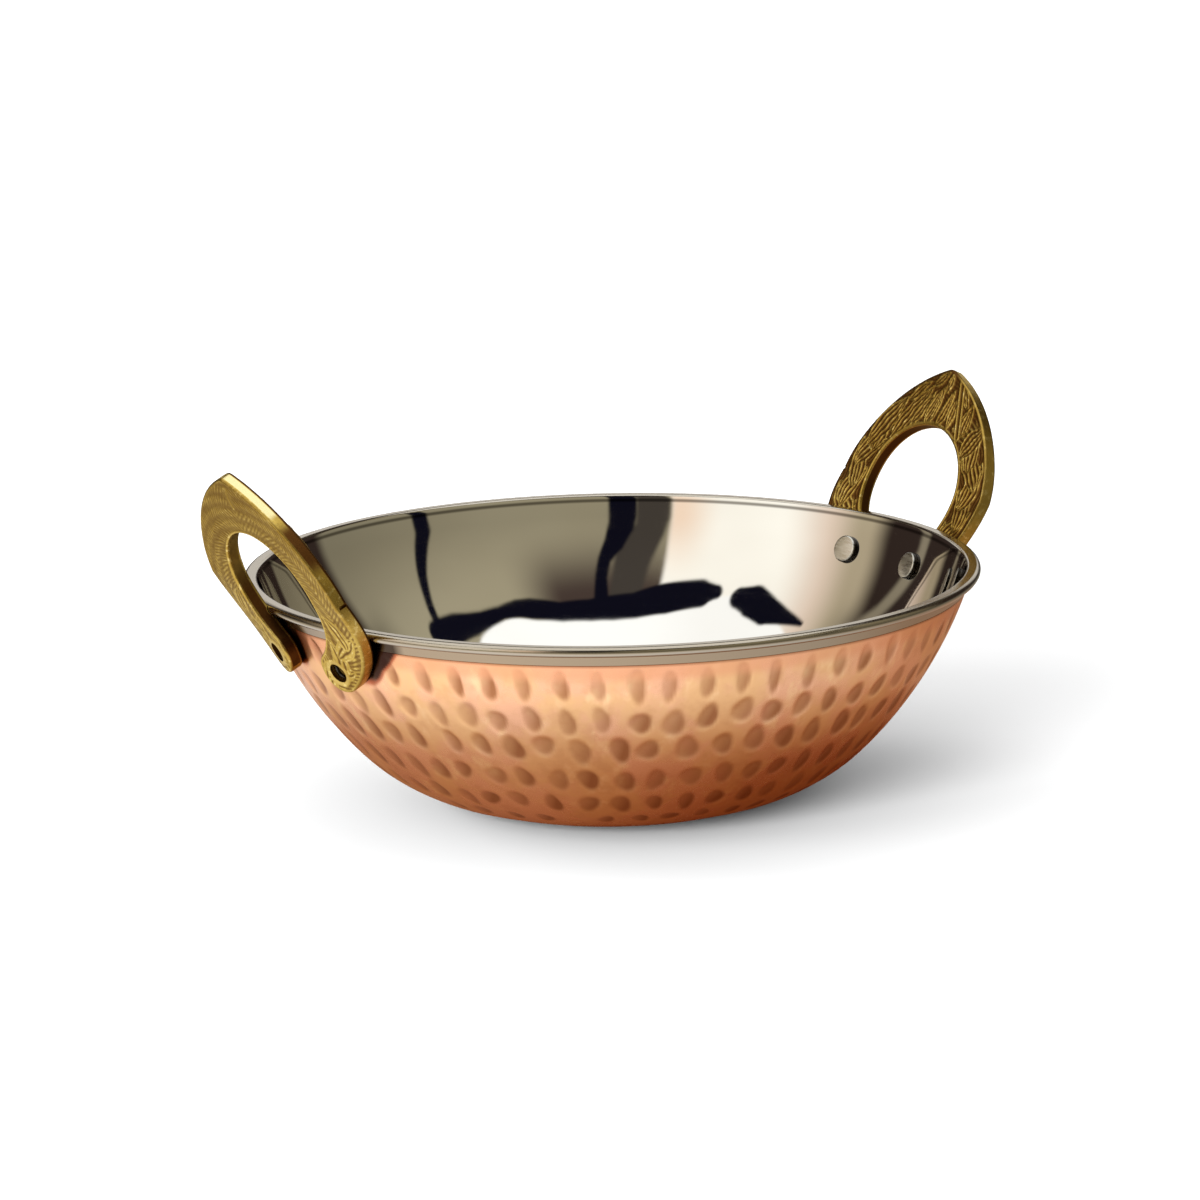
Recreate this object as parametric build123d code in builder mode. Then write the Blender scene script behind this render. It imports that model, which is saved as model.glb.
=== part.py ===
from build123d import *
from math import acos, atan2, cos, degrees, radians, sin, tan
import os

# A small two-layer kadai: a round-bottomed bowl with a copper skin over a steel bowl whose rim is rolled outwards,
# and two pointed brass handles, each riveted to the wall by its two feet. Millimetres, +Z up, the origin at the
# centre of the flat base, the handles along +X and -X.

# Bowl: the outside line starts level at the base, turns through two arcs and ends in a straight slope
rim_diameter = 150.0
bowl_height = 47.2
base_diameter = 49.0
lower_arc_end = 46.0  # degrees from level
wall_slope = 70.0  # degrees from level
straight_wall = 5.3  # length of the slope, up to the rim's top
copper_wall = 0.7
steel_wall = 0.6
layer_gap = 0.1  # air left between the two layers

# Rim of the steel bowl: a bead that stands out, over a band that is flush with the copper
bead_height = 2.0
bead_reach = 1.2  # past the line of the wall, measured at the rim's top
band_height = 2.0
lip_round = 0.6

# Handles: a cast plate with the outline of a pointed arch. Its crown is flat and leans outwards, and below its
# shoulders the legs stand a little steeper and curve round the bowl. Depths run down the plate from its tip.
handle_lean = 25.2  # degrees from upright
plate_thickness = 3.2
plate_half_width = 23.8
widest_depth = 28.7
crown_depth = 12.9
foot_depth = 43.2
foot_radius = 4.7
foot_spread = 11.3  # from the middle line to the centre of each foot
ogive_angle = 27.0  # degrees above level where the side's two arcs meet
tip_round = 2.4
shoulder_depth = 26.0
leg_bend = 2.7  # degrees
nick_height = 0.6
nick_depth = 0.7
nick_front_land = 1.0
seat_gap = 0.1

# Rivets: flat round head inside the bowl, tubular end sunk in the foot
rivet_drop = 9.1  # from the rim's top down to the rivets, at the middle of the plate
shank_diameter = 3.0
hole_clearance = 0.1
head_diameter = 5.8
head_height = 1.1
head_round = 0.4
head_gap = 0.1
recess_diameter = 4.2
recess_depth = 1.5  # below the front face of the plate
rivet_end_diameter = 3.9
rivet_end_height = 0.5
rivet_end_round = 0.2
rivet_bore_diameter = 1.8
rivet_bore_depth = 1.4

overrun = 6.0  # how far every cut passes what it cuts
right_angle = 90.0
half_turn = 180.0
full_turn = 360.0

# Bowl section: the two arcs share the way out and up that the base and the slope leave between them
rim_radius = rim_diameter / 2
base_radius = base_diameter / 2
joint_run = sin(radians(lower_arc_end))
joint_rise = 1 - cos(radians(lower_arc_end))
slope_run = sin(radians(wall_slope))
slope_rise = 1 - cos(radians(wall_slope))
arcs_run = rim_radius - bead_reach - base_radius - straight_wall * cos(radians(wall_slope))
arcs_rise = bowl_height - straight_wall * sin(radians(wall_slope))
arcs_share = joint_run * slope_rise - slope_run * joint_rise
lower_arc_radius = (arcs_run * (slope_rise - joint_rise) - arcs_rise * (slope_run - joint_run)) / arcs_share
upper_arc_radius = (arcs_rise * joint_run - arcs_run * joint_rise) / arcs_share
lower_centre = (base_radius, lower_arc_radius)
arc_step = upper_arc_radius - lower_arc_radius
upper_centre = (base_radius - arc_step * joint_run, lower_arc_radius + arc_step * (1 - joint_rise))
bead_radius = bead_height / 2
bead_foot_height = bowl_height - bead_height
copper_edge_height = bead_foot_height - band_height
liner_outside = copper_wall + layer_gap
liner_inside = liner_outside + steel_wall


def wall_point(inset, height):
    """Point of the straight top of the wall line that lies inset inside the outside line, at a height."""
    radius = upper_arc_radius - inset
    start_x = upper_centre[0] + radius * sin(radians(wall_slope))
    start_z = upper_centre[1] - radius * cos(radians(wall_slope))
    return (start_x + (height - start_z) / tan(radians(wall_slope)), height)


def wall_line(inset, height):
    """Line of the bowl from the axis, along the base and up the wall, inset inside the outside line."""
    Line((0, inset), (base_radius, inset))
    CenterArc(lower_centre, lower_arc_radius - inset, -right_angle, lower_arc_end)
    arc_top = CenterArc(
        upper_centre, upper_arc_radius - inset, lower_arc_end - right_angle, wall_slope - lower_arc_end
    )
    Line(arc_top @ 1, wall_point(inset, height))


# Rivets stand square to the wall, through the middle of the feet, whose backs lie on the wall
foot_stand = seat_gap + plate_thickness / 2
foot_z = bowl_height - rivet_drop
stand_radius = upper_arc_radius + foot_stand
rivet_fall = right_angle - degrees(acos((upper_centre[1] - foot_z) / stand_radius))
foot_out = upper_centre[0] + stand_radius * cos(radians(rivet_fall))
foot_x = (foot_out**2 - foot_spread**2) ** 0.5
foot_turn = atan2(foot_spread, foot_x)

# The legs follow the wall: at the feet they are arched on its radius, and the arch fades out at the shoulders
leg_drop = foot_depth - shoulder_depth
leg_end_depth = foot_depth + 2 * foot_radius
leg_end_share = (leg_end_depth - shoulder_depth) / leg_drop
leg_swing = tan(radians(leg_bend))
foot_rise = leg_swing * leg_drop - foot_spread**2 / (2 * foot_out)
slab_half_width = plate_half_width + overrun
end_rise = leg_swing * leg_drop * leg_end_share
end_edge_rise = end_rise - slab_half_width**2 / (2 * foot_out) * leg_end_share

# Plate of a handle: local X runs across, local Y up to the tip, local Z out of the front face
lean = radians(handle_lean)
handle_reach = foot_x + foot_depth * sin(lean) - foot_rise * cos(lean)
handle_height = foot_z + foot_depth * cos(lean) + foot_rise * sin(lean)
plate_plane = Plane(
    origin=(handle_reach, 0, handle_height), x_dir=(0, 1, 0), z_dir=(cos(lean), 0, -sin(lean))
)
foot_centre = (foot_spread, -foot_depth)

# The opening is a circle that touches the round feet and leaves the crown's depth above it
opening_drop = foot_depth - crown_depth
opening_radius = (foot_spread**2 + opening_drop**2 - foot_radius**2) / (2 * (foot_radius + opening_drop))
opening_centre = (0, -crown_depth - opening_radius)

# The side's lower arc is upright at the widest place and touches the foot, and its upper arc ends at the tip
side_span = plate_half_width - foot_spread
side_drop = foot_depth - widest_depth
side_radius = (side_span**2 + side_drop**2 - foot_radius**2) / (2 * (side_span - foot_radius))
side_centre = (plate_half_width - side_radius, -widest_depth)
meet_x = cos(radians(ogive_angle))
meet_y = sin(radians(ogive_angle))
ogive_step = (side_centre[0] ** 2 + side_centre[1] ** 2 - side_radius**2) / (
    2 * (side_radius + side_centre[0] * meet_x + side_centre[1] * meet_y)
)
ogive_radius = side_radius + ogive_step
ogive_centre = (side_centre[0] - ogive_step * meet_x, side_centre[1] - ogive_step * meet_y)


def angle_between(start, end):
    """Direction in degrees from one point of the plate to another."""
    return degrees(atan2(end[1] - start[1], end[0] - start[0]))


def half_outline():
    """One half of the plate's outline: four arcs that run into each other, closed along the middle line."""
    tip_angle = angle_between(ogive_centre, (0, 0))
    foot_angle = angle_between(side_centre, foot_centre)
    inner_angle = angle_between(foot_centre, opening_centre)
    CenterArc(ogive_centre, ogive_radius, ogive_angle, tip_angle - ogive_angle)
    CenterArc(side_centre, side_radius, foot_angle, ogive_angle - foot_angle)
    CenterArc(foot_centre, foot_radius, foot_angle, inner_angle - full_turn - foot_angle)
    CenterArc(opening_centre, opening_radius, inner_angle - half_turn, right_angle + half_turn - inner_angle)
    Line((0, -crown_depth), (0, 0))


def cross_plane(depth):
    """Plane across the plate at a depth below the tip: local X across, local Y out of the front face."""
    down = (-sin(lean), 0, -cos(lean))
    place = (handle_reach + depth * down[0], 0, handle_height + depth * down[2])
    return Plane(origin=place, x_dir=(0, 1, 0), z_dir=down)


def rivet_plane(end, side):
    """Plane across a rivet in the middle of its foot: end is +1 at +X, side is +1 at +Y, Z points outwards."""
    fall = radians(rivet_fall)
    return Plane(
        origin=(end * foot_x, side * foot_spread, foot_z),
        x_dir=(-side * sin(foot_turn), end * cos(foot_turn), 0),
        z_dir=(end * cos(fall) * cos(foot_turn), side * cos(fall) * sin(foot_turn), -sin(fall)),
    )


rivet_planes = {
    "right_front_rivet": rivet_plane(1, -1),
    "right_back_rivet": rivet_plane(1, 1),
    "left_front_rivet": rivet_plane(-1, -1),
    "left_back_rivet": rivet_plane(-1, 1),
}
hole_radius = shank_diameter / 2 + hole_clearance
recess_floor = plate_thickness / 2 - recess_depth
head_face = -(foot_stand + liner_inside + head_gap)

# Copper shell: the outer skin, open at the top, pierced for the rivets
with BuildPart() as copper_shell:
    with BuildSketch(Plane.XZ):
        with BuildLine():
            wall_line(0, copper_edge_height)
            Line(wall_point(0, copper_edge_height), wall_point(copper_wall, copper_edge_height))
            wall_line(copper_wall, copper_edge_height)
            Line((0, copper_wall), (0, 0))
        make_face()
    revolve(axis=Axis.Z)
    for plane in rivet_planes.values():
        with BuildSketch(plane):
            Circle(hole_radius)
        extrude(amount=overrun, both=True, mode=Mode.SUBTRACT)

# Steel liner: the inner bowl, with its lip, its bead and the band that sits on the copper's edge
bead_centre = (rim_radius - bead_radius, bowl_height - bead_radius)
with BuildPart() as steel_liner:
    with BuildSketch(Plane.XZ):
        with BuildLine():
            wall_line(liner_inside, bowl_height)
            Line(wall_point(liner_inside, bowl_height), (bead_centre[0], bowl_height))
            CenterArc(bead_centre, bead_radius, -right_angle, half_turn)
            Polyline(
                (bead_centre[0], bead_foot_height),
                wall_point(0, bead_foot_height),
                wall_point(0, copper_edge_height),
                wall_point(liner_outside, copper_edge_height),
            )
            wall_line(liner_outside, copper_edge_height)
            Line((0, liner_outside), (0, liner_inside))
        liner_face = make_face()
        fillet(liner_face.vertices().group_by(Axis.Y)[-1].sort_by(Axis.X)[0], lip_round)
    revolve(axis=Axis.Z)
    for plane in rivet_planes.values():
        with BuildSketch(plane):
            Circle(hole_radius)
        extrude(amount=overrun, both=True, mode=Mode.SUBTRACT)

# Space that the bowl and its rim take, with the clearance of a seat around it
with BuildPart() as bowl_space:
    with BuildSketch(Plane.XZ):
        with BuildLine():
            wall_line(-seat_gap, bead_foot_height - seat_gap)
            Polyline(
                wall_point(-seat_gap, bead_foot_height - seat_gap),
                (bead_centre[0], bead_foot_height - seat_gap),
            )
            CenterArc(bead_centre, bead_radius + seat_gap, -right_angle, half_turn)
            Polyline((bead_centre[0], bowl_height + seat_gap), (0, bowl_height + seat_gap), (0, -seat_gap))
        make_face()
    revolve(axis=Axis.Z)

# Right handle: the plate with its curved legs, seated on the wall and the rim, the rivet holes, and the nick
# across the side of one leg at its shoulder
with BuildPart() as right_handle:
    with BuildSketch(cross_plane(-overrun)):
        Rectangle(2 * slab_half_width, plate_thickness)
    extrude(amount=overrun + shoulder_depth)
    with BuildSketch(cross_plane(shoulder_depth)):
        with BuildLine():
            Polyline(
                (-slab_half_width, plate_thickness / 2),
                (slab_half_width, plate_thickness / 2),
                (slab_half_width, -plate_thickness / 2),
                (-slab_half_width, -plate_thickness / 2),
                close=True,
            )
        make_face()
    with BuildSketch(cross_plane(leg_end_depth)):
        with BuildLine():
            front = ThreePointArc(
                (-slab_half_width, end_edge_rise + plate_thickness / 2),
                (0, end_rise + plate_thickness / 2),
                (slab_half_width, end_edge_rise + plate_thickness / 2),
            )
            back = ThreePointArc(
                (slab_half_width, end_edge_rise - plate_thickness / 2),
                (0, end_rise - plate_thickness / 2),
                (-slab_half_width, end_edge_rise - plate_thickness / 2),
            )
            Line(front @ 1, back @ 0)
            Line(back @ 1, front @ 0)
        make_face()
    loft(ruled=True)
    with BuildSketch(plate_plane.offset(-overrun)):
        with BuildLine():
            half_outline()
        make_face()
        mirror(about=Plane.YZ)
        fillet(vertices().sort_by(Axis.Y)[-1], tip_round)
    extrude(amount=2 * overrun, mode=Mode.INTERSECT)
    with BuildSketch(plate_plane.offset(plate_thickness / 2 - nick_front_land)):
        with Locations((plate_half_width, -shoulder_depth)):
            Rectangle(2 * nick_depth, nick_height)
    extrude(amount=-plate_thickness, mode=Mode.SUBTRACT)
    add(bowl_space.part, mode=Mode.SUBTRACT)
    for side in (-1, 1):
        plane = rivet_plane(1, side)
        with BuildSketch(plane):
            Circle(hole_radius)
        extrude(amount=overrun, both=True, mode=Mode.SUBTRACT)
        with BuildSketch(plane.offset(recess_floor)):
            Circle(recess_diameter / 2)
        extrude(amount=overrun, mode=Mode.SUBTRACT)

# Left handle: the same casting, turned half round the bowl
with BuildPart() as left_handle:
    add(right_handle.part.rotate(Axis.Z, half_turn))


def make_rivet(plane):
    """Rivet: a flat head with a rounded edge, its shank, and the wider tubular end that holds the foot."""
    with BuildPart() as rivet:
        with BuildSketch(plane.offset(head_face - head_height)):
            Circle(head_diameter / 2)
        extrude(amount=head_height)
        head_rim = edges().group_by(Axis((0, 0, 0), plane.z_dir))[0]
        fillet(head_rim, head_round)
        with BuildSketch(plane.offset(head_face)):
            Circle(shank_diameter / 2)
        extrude(amount=recess_floor - head_face)
        with BuildSketch(plane.offset(recess_floor)):
            Circle(rivet_end_diameter / 2)
        extrude(amount=rivet_end_height)
        end_rim = edges().group_by(Axis((0, 0, 0), plane.z_dir))[-1]
        fillet(end_rim, rivet_end_round)
        with BuildSketch(plane.offset(recess_floor + rivet_end_height)):
            Circle(rivet_bore_diameter / 2)
        extrude(amount=-rivet_bore_depth, mode=Mode.SUBTRACT)
    return rivet


pieces = {
    "copper_shell": copper_shell,
    "steel_liner": steel_liner,
    "right_handle": right_handle,
    "left_handle": left_handle,
}
for name, plane in rivet_planes.items():
    pieces[name] = make_rivet(plane)

os.makedirs("parts", exist_ok=True)
for name, piece in pieces.items():
    piece.part.label = name
    export_step(piece.part, f"parts/{name}.step")
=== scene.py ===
from math import atan2, cos, pi, radians, sin, sqrt, tan

import bmesh
import bpy
import numpy as np
from mathutils import Matrix, Vector


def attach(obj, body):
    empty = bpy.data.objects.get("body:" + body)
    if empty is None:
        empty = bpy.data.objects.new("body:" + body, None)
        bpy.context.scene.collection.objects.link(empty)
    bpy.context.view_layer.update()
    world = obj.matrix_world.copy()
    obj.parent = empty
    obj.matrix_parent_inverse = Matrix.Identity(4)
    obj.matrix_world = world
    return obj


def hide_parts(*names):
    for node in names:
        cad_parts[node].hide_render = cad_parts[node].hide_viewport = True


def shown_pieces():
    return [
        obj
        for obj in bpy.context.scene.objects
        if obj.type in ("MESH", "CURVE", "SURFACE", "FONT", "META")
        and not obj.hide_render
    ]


# A small serving kadai: hammered copper skin, mirror-polished steel bowl with a rolled rim, two engraved
# brass handles and four rivets. Shapes are worked out in millimetres in the frame of the solids and put
# down in metres.

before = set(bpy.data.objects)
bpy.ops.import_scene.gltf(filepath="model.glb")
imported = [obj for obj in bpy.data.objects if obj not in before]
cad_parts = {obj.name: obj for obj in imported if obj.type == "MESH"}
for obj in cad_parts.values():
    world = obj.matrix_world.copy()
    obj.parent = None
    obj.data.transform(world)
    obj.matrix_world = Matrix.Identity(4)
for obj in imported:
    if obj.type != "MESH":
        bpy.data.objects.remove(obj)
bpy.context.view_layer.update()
MM = 0.001
draws = np.random.default_rng(11)

# Bowl: level base, two arcs, straight slope
rim_radius, base_radius = 75.0, 24.5
bowl_height = 47.2
bead_reach, straight_wall = 1.2, 5.3
joint_turn, wall_turn = radians(46.0), radians(70.0)
copper_wall, steel_wall, layer_gap = 0.7, 0.6, 0.1
bead_radius, band_height = 1.0, 2.0
lip_round = 0.6
copper_edge_round = 0.12
copper_columns, liner_columns = 780, 360
arcs_run = rim_radius - bead_reach - base_radius - straight_wall * cos(wall_turn)
arcs_rise = bowl_height - straight_wall * sin(wall_turn)
joint_run, joint_rise = sin(joint_turn), 1 - cos(joint_turn)
slope_run, slope_rise = sin(wall_turn), 1 - cos(wall_turn)
arcs_share = joint_run * slope_rise - slope_run * joint_rise
lower_radius = (arcs_run * (slope_rise - joint_rise) - arcs_rise * (slope_run - joint_run)) / arcs_share
upper_radius = (arcs_rise * joint_run - arcs_run * joint_rise) / arcs_share
upper_centre = (
    base_radius - (upper_radius - lower_radius) * joint_run,
    lower_radius + (upper_radius - lower_radius) * (1 - joint_rise),
)
lower_start = base_radius
upper_start = lower_start + lower_radius * joint_turn
slope_start = upper_start + upper_radius * (wall_turn - joint_turn)
bead_centre = (rim_radius - bead_radius, bowl_height - bead_radius)
bead_foot = bowl_height - 2 * bead_radius
copper_edge = bead_foot - band_height
liner_outside = copper_wall + layer_gap
liner_inside = liner_outside + steel_wall

# Handles: plate with the outline of a pointed arch, depths measured down the plate from its tip
lean = radians(25.2)
plate_thickness, plate_half_width = 3.2, 23.8
widest_depth, crown_depth = 28.7, 12.9
foot_depth, foot_radius, foot_spread = 43.2, 4.7, 11.3
ogive_turn = radians(27.0)
tip_round = 2.4
shoulder_depth = 26.0
leg_bend = radians(2.7)
seat_gap = 0.1
rivet_drop = 9.1
slab_overrun = 6.0
recess_depth, seat_radius, seat_tool_top = 1.5, 2.1, 6.0
recess_floor = plate_thickness / 2 - recess_depth
nick_depth, nick_half_width, nick_span = 0.7, 0.3, (-3.0, 0.6)
tool_overrun = 2.0
foot_sections, leg_sections, face_points, wall_points = 34, 205, 44, 9
rivet_columns = 56

foot_stand = seat_gap + plate_thickness / 2
foot_z = bowl_height - rivet_drop
stand_radius = upper_radius + foot_stand
rivet_fall = pi / 2 - np.arccos((upper_centre[1] - foot_z) / stand_radius)
foot_out = upper_centre[0] + stand_radius * cos(rivet_fall)
foot_x = sqrt(foot_out**2 - foot_spread**2)
foot_turn = atan2(foot_spread, foot_x)
leg_drop = foot_depth - shoulder_depth
leg_share = (foot_depth + 2 * foot_radius - shoulder_depth) / leg_drop
foot_rise = tan(leg_bend) * leg_drop - foot_spread**2 / (2 * foot_out)
slab_half = plate_half_width + slab_overrun
end_rise = tan(leg_bend) * leg_drop * leg_share
end_fall = slab_half**2 / (2 * foot_out) * leg_share
handle_reach = foot_x + foot_depth * sin(lean) - foot_rise * cos(lean)
handle_height = foot_z + foot_depth * cos(lean) + foot_rise * sin(lean)

opening_drop = foot_depth - crown_depth
opening_radius = (foot_spread**2 + opening_drop**2 - foot_radius**2) / (2 * (foot_radius + opening_drop))
side_span, side_drop = plate_half_width - foot_spread, foot_depth - widest_depth
side_radius = (side_span**2 + side_drop**2 - foot_radius**2) / (2 * (side_span - foot_radius))
foot_centre = np.array([foot_spread, -foot_depth])
opening_centre = np.array([0.0, -crown_depth - opening_radius])
side_centre = np.array([plate_half_width - side_radius, -widest_depth])
meet = np.array([cos(ogive_turn), sin(ogive_turn)])
ogive_step = (side_centre @ side_centre - side_radius**2) / (2 * (side_radius + side_centre @ meet))
ogive_radius = side_radius + ogive_step
ogive_centre = side_centre - ogive_step * meet
tip_centre = np.array([0.0, ogive_centre[1] + sqrt((ogive_radius - tip_round) ** 2 - ogive_centre[0] ** 2)])
tip_turn = atan2(*(tip_centre - ogive_centre)[::-1])
foot_out_turn = atan2(*(foot_centre - side_centre)[::-1])


# Surfaces
def smooth(value, low, high):
    """0 below low, 1 above high, and a smooth climb between."""
    share = np.clip((value - low) / (high - low), 0, 1)
    return share * share * (3 - 2 * share)


def ridge(distance, width):
    """A rounded ridge: 1 on the line, falling as a bell to nothing at about twice its width."""
    return np.exp(-((distance / width) ** 2))


def wall_at(length, inset):
    """Line of the bowl at a length along its outside line, moved inset inwards along its normal.
    Level up to the base's edge, then the lower arc, the upper arc and the straight slope."""
    length = np.asarray(length, float)
    turn = np.clip((length - lower_start) / lower_radius, 0, joint_turn)
    turn = turn + np.clip((length - upper_start) / upper_radius, 0, wall_turn - joint_turn)
    lower = (base_radius + lower_radius * np.sin(turn), lower_radius * (1 - np.cos(turn)))
    upper = (upper_centre[0] + upper_radius * np.sin(turn), upper_centre[1] - upper_radius * np.cos(turn))
    over = np.maximum(length - slope_start, 0)
    radius = np.where(length < upper_start, lower[0], upper[0] + over * cos(wall_turn))
    height = np.where(length < upper_start, lower[1], upper[1] + over * sin(wall_turn))
    radius = np.where(length < lower_start, length, radius) - inset * np.sin(turn)
    return radius, height + inset * np.cos(turn)


def length_to(height, inset):
    """Length along the outside line at which the straight slope, moved inset inwards, reaches a height."""
    start = upper_centre[1] - upper_radius * cos(wall_turn) + inset * cos(wall_turn)
    return slope_start + (height - start) / sin(wall_turn)


def arc(centre, radius, start, end, count):
    """Points of an arc from one angle to another."""
    turn = np.linspace(start, end, count)
    return np.stack([centre[0] + radius * np.cos(turn), centre[1] + radius * np.sin(turn)], -1)


def placed(name, data):
    """New object with the given data, put in the scene."""
    piece = bpy.data.objects.new(name, data)
    bpy.context.scene.collection.objects.link(piece)
    return piece


def put_mesh(name, points, faces, material, body="root"):
    """Mesh piece from points in millimetres and lists of corner numbers, shaded smooth but for its sharp
    edges."""
    mesh = bpy.data.meshes.new(name)
    mesh.from_pydata((points * MM).tolist(), [], faces)
    mesh.polygons.foreach_set("use_smooth", np.ones(len(mesh.polygons), bool))
    mesh.set_sharp_from_angle(angle=radians(38))
    mesh.materials.append(material)
    piece = placed(name, mesh)
    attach(piece, body)
    return piece


def closed_faces(rows, columns):
    """Corner numbers of a closed skin: a ring of quads from row to row, and a fan of triangles at each pole.
    The first and the last point are the poles, and the rows between them are rings."""
    ring = 1 + np.arange((rows - 2) * columns).reshape(rows - 2, columns)
    ahead = np.roll(ring, -1, axis=1)
    quads = np.stack([ring[:-1], ahead[:-1], ahead[1:], ring[1:]], -1).reshape(-1, 4)
    low = np.stack([np.zeros(columns, int), ahead[0], ring[0]], -1)
    high = np.stack([np.full(columns, ring[-1, -1] + 1), ring[-1], ahead[-1]], -1)
    return quads.tolist() + low.tolist() + high.tolist()


def closed_skin(name, grid, material):
    """Closed piece from a grid of points whose first and last rows are single points."""
    points = np.vstack([grid[0, :1], grid[1:-1].reshape(-1, 3), grid[-1, :1]])
    return put_mesh(name, points, closed_faces(*grid.shape[:2]), material)


def turned(radius, height, columns):
    """Grid of points of a surface turned about the upright axis: each row is one ring of the section."""
    turn = np.linspace(0, 2 * pi, columns, endpoint=False)
    return np.stack(
        [radius[:, None] * np.cos(turn), radius[:, None] * np.sin(turn), height[:, None] + 0 * turn], -1
    )


def store(piece, name, values):
    """Writes one number per point as an attribute that the materials read."""
    attribute = piece.data.attributes.new(name, "FLOAT", "POINT")
    attribute.data.foreach_set("value", np.asarray(values, np.float32).ravel())


def store_rows(piece, name, rows):
    """Writes a grid of numbers as an attribute of a closed skin, whose first and last rows are poles."""
    store(piece, name, np.concatenate([rows[0, :1], rows[1:-1].ravel(), rows[-1, :1]]))


def edge_distance(u, v):
    """Distance from points of the plate to its nearest edge, from the arcs that make the outline. Outside the
    outline it is below zero."""
    u = np.abs(u)
    far = np.full_like(u, 50.0)
    from_side = np.arctan2(v - side_centre[1], u - side_centre[0])
    from_ogive = np.hypot(u - ogive_centre[0], v - ogive_centre[1])
    in_side = side_radius - np.hypot(u - side_centre[0], v - side_centre[1])
    side = np.where(from_side > ogive_turn, ogive_radius - from_ogive, in_side)
    side = np.where(from_side < foot_out_turn, far, side)
    in_tip = np.arctan2(v - tip_centre[1], u) > tip_turn
    side = np.where(in_tip & (v > tip_centre[1]), tip_round - np.hypot(u, v - tip_centre[1]), side)
    axis = (opening_centre - foot_centre) / np.linalg.norm(opening_centre - foot_centre)
    past = (u - foot_centre[0]) * -axis[1] + (v - foot_centre[1]) * axis[0]
    out_axis = (side_centre - foot_centre) / np.linalg.norm(side_centre - foot_centre)
    past_out = (u - foot_centre[0]) * -out_axis[1] + (v - foot_centre[1]) * out_axis[0]
    in_foot = (past > 0) & (past_out > 0)
    foot = np.where(in_foot, foot_radius - np.hypot(u - foot_centre[0], v - foot_centre[1]), far)
    opening = np.where(in_foot, far, np.hypot(u, v - opening_centre[1]) - opening_radius)
    return np.minimum(np.minimum(side, foot), opening)


# Materials
def new_material(name):
    """New node material, with its tree and its shader."""
    material = bpy.data.materials.new(name)
    material.use_nodes = True
    return material, material.node_tree, material.node_tree.nodes["Principled BSDF"]


def add_node(tree, kind, settings=(), **inputs):
    """Adds a node, sets its properties and values, and links each input that is given as a socket."""
    node = tree.nodes.new(kind)
    for key, value in dict(settings).items():
        setattr(node, key, value)
    for key, value in inputs.items():
        socket = node.inputs[int(key[1:])] if key[0] == "i" and key[1:].isdigit() else node.inputs[key]
        if isinstance(value, bpy.types.NodeSocket):
            tree.links.new(value, socket)
        else:
            socket.default_value = value
    return node


def noise(tree, scale, detail=3.0, roughness=0.5, stretch=(1, 1, 1)):
    """Noise on the piece's own coordinates in metres, stretched by the given shares."""
    place = add_node(tree, "ShaderNodeTexCoord").outputs["Object"]
    place = add_node(tree, "ShaderNodeMapping", Vector=place, Scale=stretch).outputs[0]
    node = add_node(tree, "ShaderNodeTexNoise", Vector=place, Scale=scale, Detail=detail, Roughness=roughness)
    return node.outputs["Fac"]


def ranged(tree, value, low, high, to_low, to_high):
    """Maps one range of a value to another, smoothly, and holds it at the ends."""
    settings = {"interpolation_type": "SMOOTHSTEP"}
    node = add_node(tree, "ShaderNodeMapRange", settings, i0=value, i1=low, i2=high, i3=to_low, i4=to_high)
    return node.outputs[0]


def mixed(tree, share, first, second):
    """Mixes two colours by a share."""
    node = add_node(tree, "ShaderNodeMix", {"data_type": "RGBA"})
    for socket, value in ((node.inputs[0], share), (node.inputs[6], first), (node.inputs[7], second)):
        if isinstance(value, bpy.types.NodeSocket):
            tree.links.new(value, socket)
        else:
            socket.default_value = value if socket == node.inputs[0] else (*value, 1)
    return node.outputs[2]


def sum_of(tree, first, second, how="ADD"):
    """Arithmetic on two values."""
    return add_node(tree, "ShaderNodeMath", {"operation": how}, i0=first, i1=second).outputs[0]


def bumped(tree, height, strength, distance):
    """Bump from a height field, its distance in metres."""
    node = add_node(tree, "ShaderNodeBump", Strength=strength, Distance=distance, Height=height)
    return node.outputs["Normal"]


def attribute(tree, name):
    """Number that the piece stores at each point."""
    return add_node(tree, "ShaderNodeAttribute", {"attribute_name": name}).outputs["Fac"]


def height_of(tree):
    """Height above the table, in metres."""
    place = add_node(tree, "ShaderNodeTexCoord").outputs["Object"]
    return add_node(tree, "ShaderNodeSeparateXYZ", Vector=place).outputs["Z"]


def finish_metal(tree, shader, colour, rough, normal):
    """Gives a metal's shader its colour, roughness and bump."""
    for name, value in (("Base Color", colour), ("Roughness", rough), ("Normal", normal)):
        tree.links.new(value, shader.inputs[name])
    shader.inputs["Metallic"].default_value = 1.0


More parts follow.
